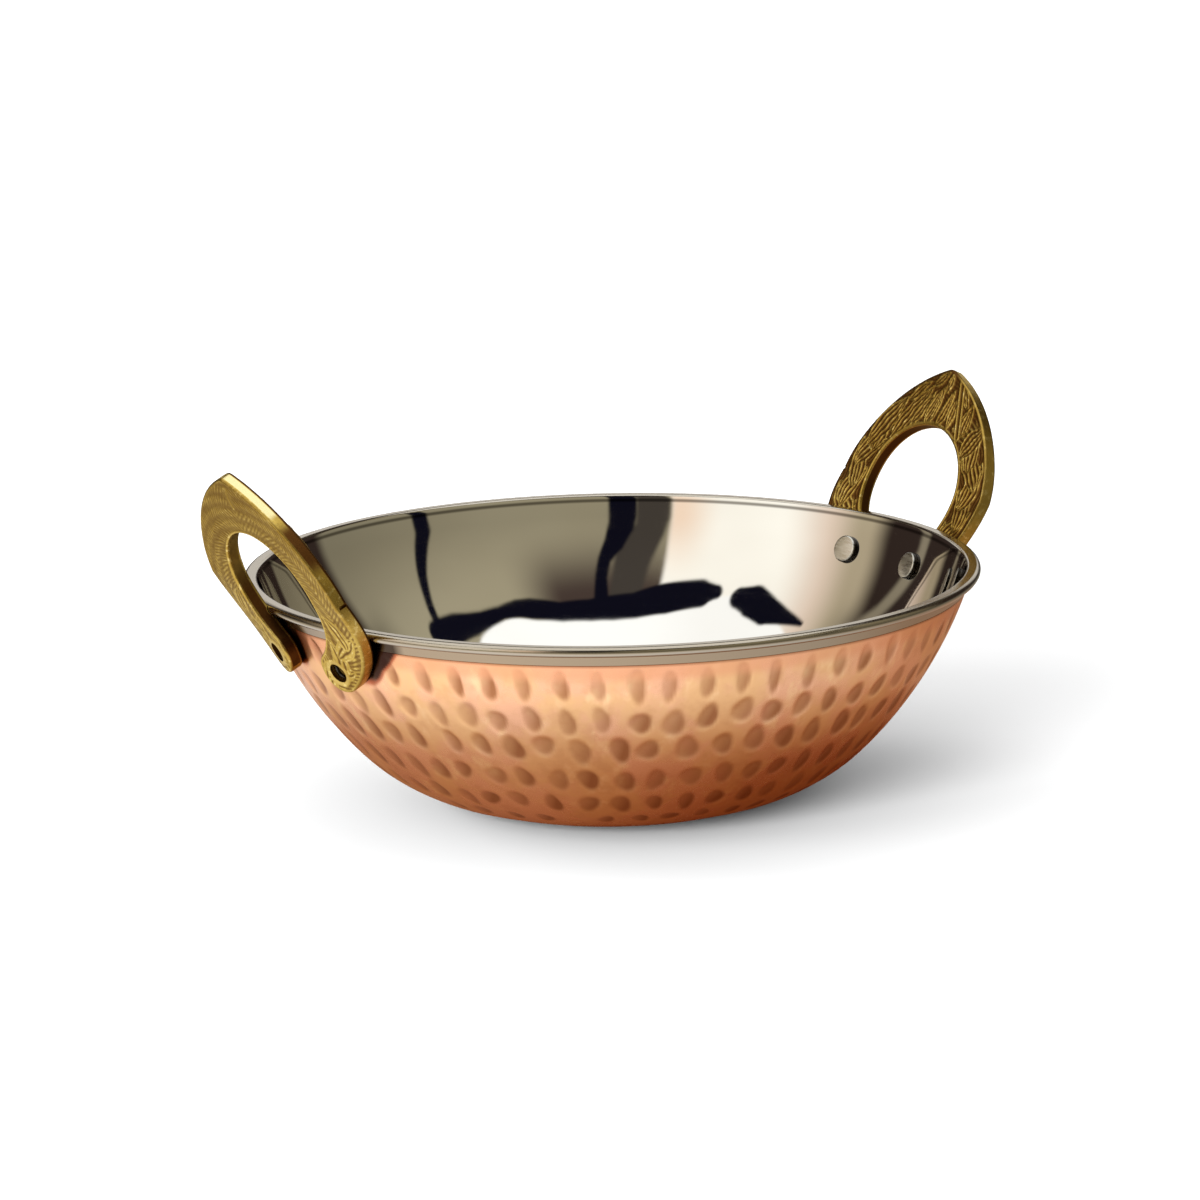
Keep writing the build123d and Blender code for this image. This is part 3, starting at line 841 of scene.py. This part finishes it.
def nick_cutter():
    """Small block across the outer edge of the plate at its shoulder, set in the plate's frame."""
    mesh = bpy.data.meshes.new("nick_tool")
    form = bmesh.new()
    bmesh.ops.create_cube(form, size=1.0)
    low = (plate_half_width - nick_depth, -shoulder_depth - nick_half_width, nick_span[0])
    high = (plate_half_width + tool_overrun, -shoulder_depth + nick_half_width, nick_span[1])
    for corner in form.verts:
        u, v, w = (low[axis] if corner.co[axis] < 0 else high[axis] for axis in range(3))
        corner.co = Vector(in_frame(np.array(u), np.array(v), np.array(w)) * MM)
    bmesh.ops.recalc_face_normals(form, faces=form.faces)
    form.to_mesh(mesh)
    form.free()
    return placed("nick_tool", mesh)


def build_handles():
    """Right handle from the rings, with its two rivet seats and the nick cut out; the left one is turned half
    round."""
    grid, relief = plate_grid()
    rows, columns = grid.shape[:2]
    points = grid.reshape(-1, 3)
    index = np.arange(rows * columns).reshape(rows, columns)
    ahead = np.roll(index, -1, axis=1)
    quads = np.stack([index[:-1], index[1:], ahead[1:], ahead[:-1]], -1).reshape(-1, 4)
    right = put_mesh("right_handle_casting", points, quads.tolist(), brass)
    store(right, "relief", relief)
    form = bmesh.new()
    form.from_mesh(right.data)
    bmesh.ops.remove_doubles(form, verts=form.verts, dist=1e-8)
    bmesh.ops.recalc_face_normals(form, faces=form.faces)
    form.to_mesh(right.data)
    form.free()
    tools = [
        cutter(f"seat_tool_{side}", rivet_frame(1, side), seat_radius, recess_floor, seat_tool_top)
        for side in (-1, 1)
    ]
    tools.append(nick_cutter())
    for tool in tools:
        cut = right.modifiers.new(tool.name, "BOOLEAN")
        cut.operation, cut.object, cut.solver = "DIFFERENCE", tool, "EXACT"
    bpy.context.view_layer.update()
    shaped = bpy.data.meshes.new_from_object(right.evaluated_get(bpy.context.evaluated_depsgraph_get()))
    right.modifiers.clear()
    right.data = shaped
    for tool in tools:
        bpy.data.objects.remove(tool)
    shaped.polygons.foreach_set("use_smooth", np.ones(len(shaped.polygons), bool))
    shaped.set_sharp_from_angle(angle=radians(42))
    shaped.name = "right_handle_casting"
    left = placed("left_handle_casting", shaped.copy())
    left.data.transform(Matrix.Rotation(pi, 4, "Z"))
    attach(left, "root")
    for piece, node in ((right, "right_handle"), (left, "left_handle")):
        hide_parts(node)


build_handles()


# Rivets
head_flat, head_round, head_dome, head_height = 2.45, 0.45, 0.12, 1.1
head_radius, head_chamfer, head_gap = head_flat + head_round, 0.08, 0.1
shank_radius, tube_radius = 1.5, 1.9
lip_ring_centre, lip_ring_radius = (1.75, 0.3), 0.2
# Bore of the tubular end: radius, height over the floor of the recess
bore_line = ((1.6, 0.5), (1.46, 0.36), (1.3, -0.1), (1.2, -0.9), (0, -1))


def build_rivet(name, end, side):
    """Rivet turned about its axis: slightly domed head inside the bowl, shank, and a tubular end in the
    foot."""
    head_face = -(foot_stand + liner_inside + head_gap)
    head_top = head_face - head_height
    crown = np.linspace(0, head_flat, 8)
    head = np.stack([crown, head_top + head_dome * (crown / head_flat) ** 2], -1)
    rim = arc((head_flat, head_top + head_dome + head_round), head_round, -pi / 2, 0, 7)[1:]
    shank = [
        (head_radius, head_face - head_chamfer),
        (head_radius - head_chamfer, head_face),
        (shank_radius, head_face),
        (shank_radius, recess_floor),
        (tube_radius, recess_floor),
    ]
    lip = arc((lip_ring_centre[0], recess_floor + lip_ring_centre[1]), lip_ring_radius, 0, pi / 2, 5)
    bore = [(radius, recess_floor + height) for radius, height in bore_line]
    section = np.vstack([head, rim, shank, lip, bore])
    # Painted shade on the side of the head, under it and in the bore.
    rivet_shade = [np.zeros(len(head)), (0, 0, 0.3, 0.8, 1, 1), np.ones(len(shank))]
    rivet_shade = np.concatenate(rivet_shade + [np.full(len(lip), 0.75), (0.9, 1, 1, 1, 1)])
    grid = turned(section[:, 0], section[:, 1], rivet_columns)
    place = np.array(rivet_frame(end, side))
    grid = grid @ place[:3, :3].T + place[:3, 3] / MM
    piece = closed_skin(f"{name}_turned", grid[:, ::-1], plain_steel)
    store_rows(piece, "rivet_shade", np.repeat(rivet_shade[:, None], rivet_columns, 1))
    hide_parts(name)


for end, end_name in ((1, "right"), (-1, "left")):
    for side, side_name in ((-1, "front"), (1, "back")):
        build_rivet(f"{end_name}_{side_name}_rivet", end, side)

# Closed skins whose corners run the wrong way round are turned to face outwards
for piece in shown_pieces():
    form = bmesh.new()
    form.from_mesh(piece.data)
    if form.calc_volume(signed=True) < 0:
        bmesh.ops.reverse_faces(form, faces=form.faces)
        form.to_mesh(piece.data)
    form.free()


# Camera at the photograph's place
camera_place = Vector((-0.53957, -0.78579, 0.25325))
camera_pan, camera_tilt, camera_roll = radians(-34.324), radians(12.6205), radians(-1.0545)
photo_width, focal_pixels = 1200, 4783.8
camera_focal = focal_pixels / photo_width
sensor_width = 36.0
back = Vector((sin(camera_pan) * cos(camera_tilt), -cos(camera_pan) * cos(camera_tilt), sin(camera_tilt)))
level = Vector((cos(camera_pan), sin(camera_pan), 0))
upright = back.cross(level)
across = cos(camera_roll) * level + sin(camera_roll) * upright
upward = -sin(camera_roll) * level + cos(camera_roll) * upright
camera = placed("camera", bpy.data.cameras.new("camera"))
camera.data.sensor_width = sensor_width
camera.data.lens = sensor_width * camera_focal
camera.data.clip_start, camera.data.clip_end = 0.05, 20.0
camera.matrix_world = Matrix.Translation(camera_place) @ Matrix((across, upward, back)).transposed().to_4x4()
bpy.context.scene.camera = camera


# Studio
def build_floor():
    """Wide level floor, plain and pale."""
    mesh = bpy.data.meshes.new("studio_floor")
    far = 12.0
    mesh.from_pydata([(-far, -far, 0), (far, -far, 0), (far, far, 0), (-far, far, 0)], [], [(0, 1, 2, 3)])
    material, _, shader = new_material("pale_floor")
    shader.inputs["Base Color"].default_value = (0.93, 0.93, 0.93, 1)
    shader.inputs["Roughness"].default_value = 0.9
    shader.inputs["Specular IOR Level"].default_value = 0.0
    mesh.materials.append(material)
    floor = placed("studio_floor", mesh)
    floor.visible_glossy = False


# Bearing and elevation of the ceiling's edge, in degrees, set after the reflections in the photograph
ceiling_bearings = (-180, -100, -62, -50, -42, -26, -12, 0, 12, 28, 42, 54, 66, 75, 90, 180)
ceiling_rises = (51, 44, 44, 48, 53, 57, 59.4, 60.3, 60.2, 58.7, 56.2, 52.4, 51.2, 51.6, 54, 51)
# Stripes in front of the walls: bearing, elevation and half width in degrees, set in the same way
pale_streak = ((-117, 27, 0.8), (-122, 22, 1.6), (-130, 8, 2.2))
grey_panel = ((-6, 53, 4.6), (-8.7, 42, 5.5), (-14.6, 33, 4.8), (-17, 20, 6.4))
beam = (
    (-49, 46.6, 2.2), (-42, 48.5, 4.2), (-26, 52.5, 4.6), (-12, 55.5, 4.0), (0, 56.5, 3.9),
    (12, 56.8, 3.4), (28, 55.8, 3.0), (42, 52.4, 3.3), (48, 51, 2.8), (57, 49.9, 2.0),
    (67, 48.9, 2.6), (74, 47.6, 3.3), (80, 45.8, 3.8), (90, 43.6, 4.0),
)
beam_end = ((-95, 39.6, 0.6), (-85, 42.2, 2.1), (-76, 44.2, 3.9), (-68, 44.3, 4.5), (-61, 45.4, 3.1))
stand = (
    (5.5, 53, 2.2), (4.8, 47, 1.9), (3, 42, 2.0), (-1.2, 37, 3.2), (-4, 31.5, 4.2), (-5.5, 20, 5.4),
)
cable = (
    (88, 42, 1.3), (83.5, 36.5, 1.3), (78.5, 30.5, 1.8), (74, 26, 2.3), (69.5, 21.5, 2.6), (66, 14, 3),
)
drape_tint, dark_tint = (0.04, 0.027, 0.022), (0.006, 0.006, 0.014)


def near_line(turn, rise, line, soft):
    """Cover of a stripe along a line of bearings, elevations and half widths, in degrees."""
    cover = np.zeros_like(turn)
    scale = np.cos(np.radians(rise))
    for (t0, r0, w0), (t1, r1, w1) in zip(line[:-1], line[1:]):
        dx, dy = (t1 - t0) * scale, r1 - r0
        px, py = (turn - t0) * scale, rise - r0
        share = np.clip((px * dx + py * dy) / (dx**2 + dy**2), 0, 1)
        away = np.hypot(px - share * dx, py - share * dy) - w0 - (w1 - w0) * share
        cover = np.maximum(cover, 1 - smooth(away, -soft, soft))
    return cover


def studio_light(turn, rise):
    """Brightness and tint of the studio round the object, by bearing from the camera (left is negative) and
    elevation in degrees: a cream wall, a soft box on the left, dark drapes at both sides, a pale backdrop
    behind, a lit ceiling, and a dark beam, stand and cable in front of them. Places and tints were set after
    what the metal in the photograph reflects."""
    def blend(colour, cover, tint):
        return colour * (1 - cover[..., None]) + np.array(tint) * cover[..., None]

    colour = (0.55 + 0.5 * smooth(rise, 8, 46))[..., None] * np.array([0.47, 0.43, 0.295])
    shade = (1 - smooth(turn, 24, 50)) * smooth(rise, 30, 52)
    colour = blend(colour, shade, (0.085, 0.06, 0.05))
    box = 1 - smooth(turn, -24, -21)
    colour = blend(colour, box, (1.43, 1.43, 1.33))
    colour = blend(colour, box * smooth(turn, -42, -25) * (1 - smooth(rise, 24, 50)), (1.33, 1.05, 0.82))
    fall = turn + 0.6 * (rise - 27)
    colour = blend(colour, 1 - smooth(fall, -90, -64), (1.06, 0.88, 0.73))
    colour = blend(colour, 1 - smooth(fall, -103, -84), (0.60, 0.52, 0.36))
    colour = blend(colour, 1 - smooth(fall, -120, -106), drape_tint)
    colour = blend(colour, near_line(turn, rise, pale_streak, 1.2), (0.32, 0.28, 0.20))
    colour = blend(colour, smooth(turn, 113, 119) * (1 - smooth(rise, 24, 32)), drape_tint)
    behind = smooth(np.abs(turn), 100, 125) * smooth(rise, 24, 32)
    colour = blend(colour, behind, (0.05, 0.04, 0.03))
    far_side = smooth(np.abs(turn), 146, 156)
    colour = blend(colour, far_side * (1 - smooth(rise, 5, 9)), (0.04, 0.03, 0.03))
    colour = blend(colour, far_side * (1 - smooth(rise, 20, 30)) * smooth(rise, 5, 9), (0.95, 0.93, 0.88))
    above_edge = rise - np.interp(turn, ceiling_bearings, ceiling_rises)
    colour = blend(colour, smooth(above_edge, -0.6, 0.6), (1.45, 1.5, 1.5))
    colour = blend(colour, near_line(turn, rise, grey_panel, 1.0), (0.075, 0.065, 0.055))
    for line, soft in ((beam, 0.5), (beam_end, 0.5), (stand, 0.6), (cable, 0.6)):
        colour = blend(colour, near_line(turn, rise, line, soft), dark_tint)
    return colour


def table_light(turn, reach):
    """Brightness and tint of the table as the metal sees it, by bearing from the camera in degrees and
    distance from the bowl's axis in millimetres: dark and reddish under the bowl, brightest in front on the
    left, and dimmer far off."""
    near = np.interp(
        reach,
        (0, 22, 30, 40, 55, 68, 80, 92, 130, 200, 400, 800),
        (0.02, 0.04, 0.16, 0.38, 0.52, 0.68, 1.0, 1.42, 1.42, 0.9, 0.45, 0.25),
    )
    side = np.interp(
        turn,
        (-180, -120, -90, -60, -30, 0, 30, 60, 90, 120, 180),
        (0.40, 0.55, 0.76, 0.90, 0.94, 0.84, 0.70, 0.56, 0.40, 0.32, 0.35),
    )
    level = near * side * (1.08 - 0.36 * smooth(turn, -25, 50) * (1 - smooth(reach, 50, 75)))
    share = level[..., None] / 0.9
    warm = level[..., None] * np.minimum(share, 1) ** np.array([0.0, 0.75, 1.4])
    plain = level[..., None] * np.array([1.0, 0.92, 0.72])
    far = smooth(reach, 110, 220)[..., None]
    return warm * (1 - far) + plain * far


def build_glow(name, points, colour, faces):
    """Skin that only shiny surfaces see, each point glowing in its own colour."""
    mesh = bpy.data.meshes.new(name)
    mesh.from_pydata(points.reshape(-1, 3).tolist(), [], faces)
    tint = mesh.attributes.new("tint", "FLOAT_COLOR", "POINT")
    opaque = np.concatenate([colour, np.ones(colour.shape[:-1] + (1,))], -1)
    tint.data.foreach_set("color", opaque.astype(np.float32).ravel())
    material = bpy.data.materials.new(name)
    material.use_nodes = True
    tree = material.node_tree
    tree.nodes.remove(tree.nodes["Principled BSDF"])
    read = add_node(tree, "ShaderNodeAttribute", {"attribute_name": "tint"}).outputs["Color"]
    glow = add_node(tree, "ShaderNodeEmission", Color=read, Strength=1.0)
    tree.links.new(glow.outputs[0], tree.nodes["Material Output"].inputs["Surface"])
    material.cycles.emission_sampling = "NONE"
    mesh.materials.append(material)
    skin = placed(name, mesh)
    skin.visible_camera = skin.visible_diffuse = skin.visible_shadow = False
    skin.visible_transmission = skin.visible_volume_scatter = False


def wrapped_quads(shape):
    """Corner numbers of quads over a grid whose first direction closes on itself."""
    index = np.arange(shape[0] * shape[1]).reshape(shape)
    ahead = np.roll(index, -1, axis=0)
    return np.stack([index[:, :-1], index[:, 1:], ahead[:, 1:], ahead[:, :-1]], -1).reshape(-1, 4).tolist()


def build_studio():
    """Dome round the object and table under it: each point's colour is the studio's light there."""
    facing = atan2(camera_place.y, camera_place.x)
    far = 4.0
    turns = np.radians(np.linspace(-180, 180, 701))[:-1]
    rises = np.concatenate([np.linspace(0, 18, 19), np.linspace(18.5, 62, 100), np.linspace(63, 90, 10)])
    turn, rise = np.meshgrid(turns, np.radians(rises), indexing="ij")
    bearing = facing + turn
    points = [np.cos(rise) * np.cos(bearing), np.cos(rise) * np.sin(bearing), np.sin(rise)]
    light = studio_light(np.degrees(turn), np.degrees(rise))
    build_glow("studio_dome", far * np.stack(points, -1), light, wrapped_quads(turn.shape))
    reaches = np.concatenate([np.linspace(0, 220, 45), [260, 320, 400, 500, 650, 800, 1200, 4000]])
    turn, reach = np.meshgrid(np.radians(np.arange(-180, 180, 5.0)), reaches, indexing="ij")
    bearing = facing + turn
    points = MM * np.stack([reach * np.cos(bearing), reach * np.sin(bearing), 0 * reach - 0.1], -1)
    build_glow("studio_table", points, table_light(np.degrees(turn), reach), wrapped_quads(turn.shape))


def add_light(name, bearing, rise, strength):
    """Broad distant light, not seen in the metal. Its bearing is counted in degrees from the camera's left
    towards the camera, and its rise from the floor."""
    lamp = bpy.data.lights.new(name, "SUN")
    lamp.angle, lamp.energy = radians(28), strength
    light = placed(name, lamp)
    forward = Vector((back.x, back.y, 0)).normalized()
    flat = forward * sin(radians(bearing)) - level * cos(radians(bearing))
    aim = flat * cos(radians(rise)) + Vector((0, 0, sin(radians(rise))))
    light.rotation_euler = aim.to_track_quat("Z", "Y").to_euler()
    light.visible_glossy = False


build_floor()
build_studio()
add_light("front_window", 60, 14, 4.9)
add_light("back_window", -30, 14, 1.45)
add_light("fill", 30, 26, 0.95)
world = bpy.data.worlds.new("studio_air")
world.use_nodes = True
world.node_tree.nodes["Background"].inputs["Color"].default_value = (1, 1, 1, 1)
world.node_tree.nodes["Background"].inputs["Strength"].default_value = 0.93
bpy.context.scene.world = world
bpy.context.scene.cycles.caustics_reflective = False
bpy.context.scene.view_settings.view_transform = "Standard"
